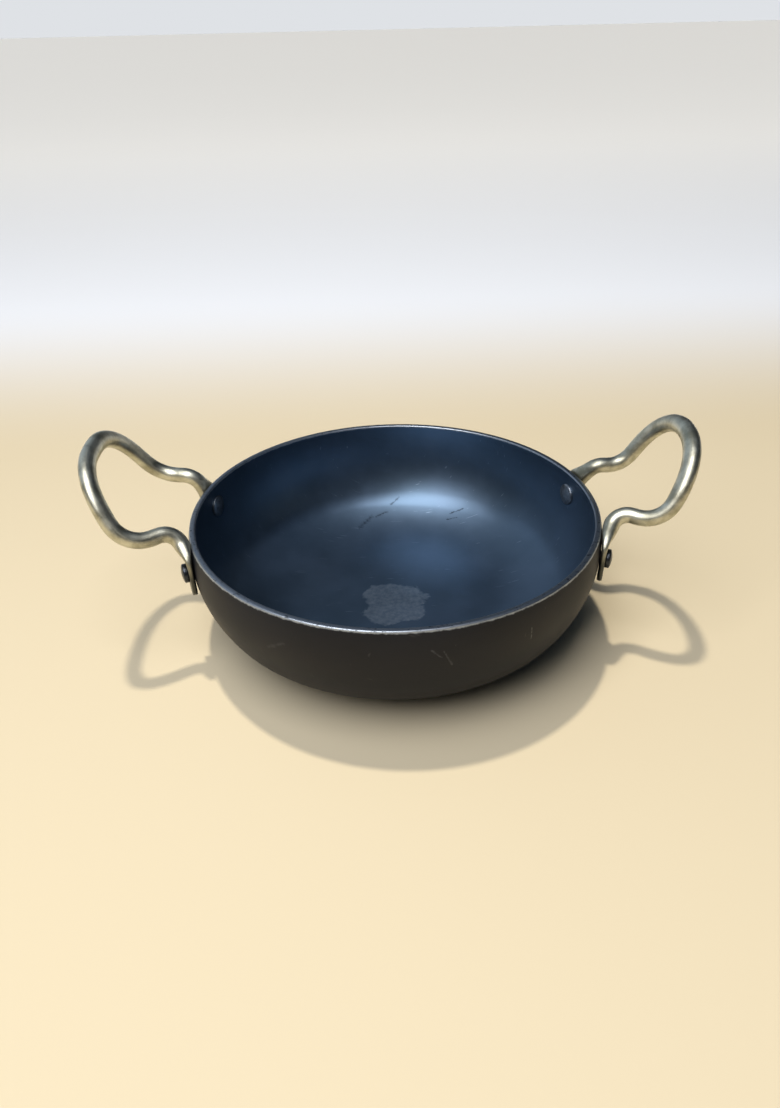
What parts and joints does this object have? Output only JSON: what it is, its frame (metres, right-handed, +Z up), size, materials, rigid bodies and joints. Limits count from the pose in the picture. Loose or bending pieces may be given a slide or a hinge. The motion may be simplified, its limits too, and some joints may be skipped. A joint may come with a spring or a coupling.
{
  "type": "kadai",
  "caption": "Deep round kadai of dark anodised aluminium with a flat base, a worn bare rim and riveted loop handles of bent steel bar, for frying and stovetop cooking.",
  "frame": {"origin": "middle of the flat base, on the surface that the pan stands on", "axes": "+X through the two handles to the right one, +Y from the front to the rear, +Z up"},
  "size_m": [0.295, 0.2084, 0.1049],
  "materials": {
    "anodised_aluminium": "hard anodised, satin inside and matt outside, bare at the worn rim",
    "plated_steel": "zinc plated steel bar, polished by use",
    "rivet_aluminium": "dull dark aluminium"
  },
  "bodies": {
    "root": {"bowl": "anodised_aluminium", "left_handle": "plated_steel", "right_handle": "plated_steel", "left_front_rivet": "rivet_aluminium", "left_rear_rivet": "rivet_aluminium", "right_front_rivet": "rivet_aluminium", "right_rear_rivet": "rivet_aluminium"}
  },
  "joints": []
}
